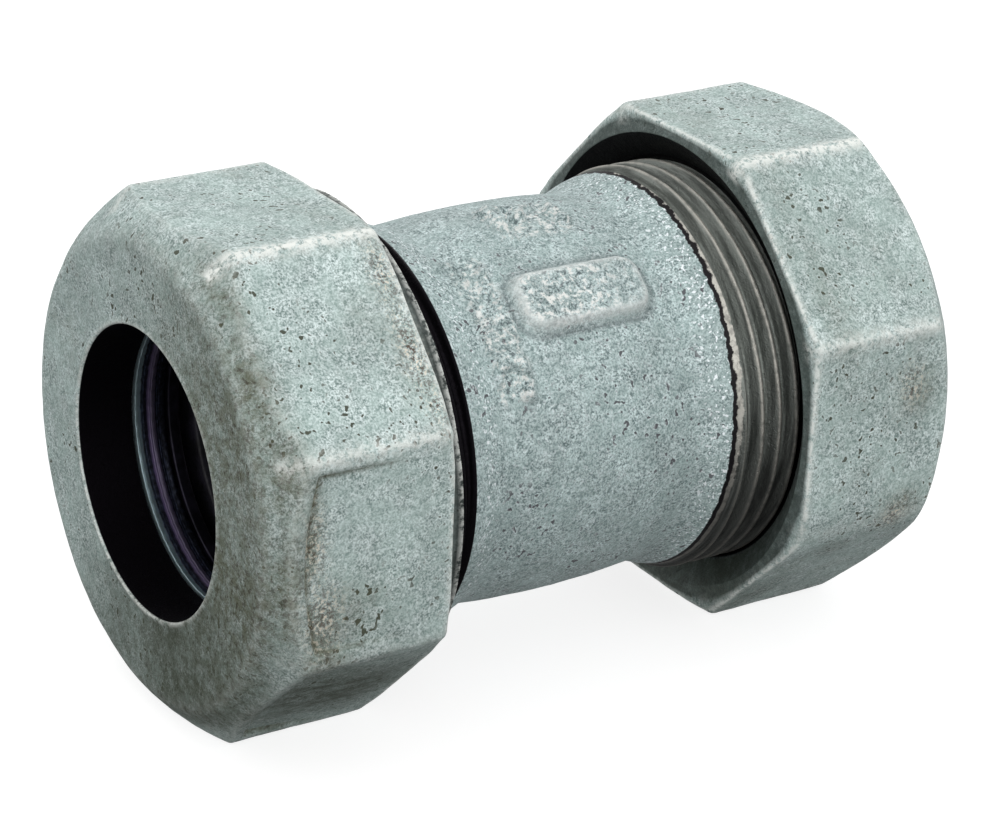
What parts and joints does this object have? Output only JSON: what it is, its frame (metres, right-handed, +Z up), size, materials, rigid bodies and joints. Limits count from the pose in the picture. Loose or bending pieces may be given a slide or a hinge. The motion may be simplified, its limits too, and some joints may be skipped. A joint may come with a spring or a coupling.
{
  "type": "pipe compression coupling",
  "caption": "Straight compression coupling for plain-end steel pipe: a barrel body threaded at both ends, closed by octagonal gland nuts over clamp rings, washers and rubber gaskets.",
  "frame": {"origin": "middle of the body on the pipe axis", "axes": "+X along the pipe axis, +Z up with both nuts standing on a flat"},
  "size_m": [0.094, 0.06, 0.06],
  "materials": {
    "galvanised_body": "hot-dip galvanised, granular, with bare oiled threads",
    "galvanised_nut": "hot-dip galvanised, dull and mottled, worn light on the edges",
    "clamp_steel": "dark hardened steel",
    "washer_steel": "dark oiled steel",
    "gasket_rubber": "matt black rubber"
  },
  "bodies": {
    "coupling": {"coupling_body": "galvanised_body", "gasket_right": "gasket_rubber", "gasket_left": "gasket_rubber"},
    "right_rings": {"clamp_ring_right": "clamp_steel", "pressure_washer_right": "washer_steel"},
    "right_nut": {"nut_right": "galvanised_nut"},
    "left_rings": {"clamp_ring_left": "clamp_steel", "pressure_washer_left": "washer_steel"},
    "left_nut": {"nut_left": "galvanised_nut"}
  },
  "joints": [
    {"name": "right_nut_travel", "type": "slide", "parent": "coupling", "child": "right_rings", "axis": [1, 0, 0], "range_m": [-0.0015, 0.004]},
    {"name": "right_nut_turn", "type": "hinge", "parent": "right_rings", "child": "right_nut", "pos_m": [0.035, 0, 0], "axis": [1, 0, 0], "range_deg": [-216, 576]},
    {"name": "left_nut_travel", "type": "slide", "parent": "coupling", "child": "left_rings", "axis": [-1, 0, 0], "range_m": [-0.0015, 0.004]},
    {"name": "left_nut_turn", "type": "hinge", "parent": "left_rings", "child": "left_nut", "pos_m": [-0.035, 0, 0], "axis": [-1, 0, 0], "range_deg": [-216, 576]}
  ],
  "couplings": [
    {"joint": "right_nut_travel", "follows": "right_nut_turn", "m_per_rad": 0.00039788},
    {"joint": "left_nut_travel", "follows": "left_nut_turn", "m_per_rad": 0.00039788}
  ]
}
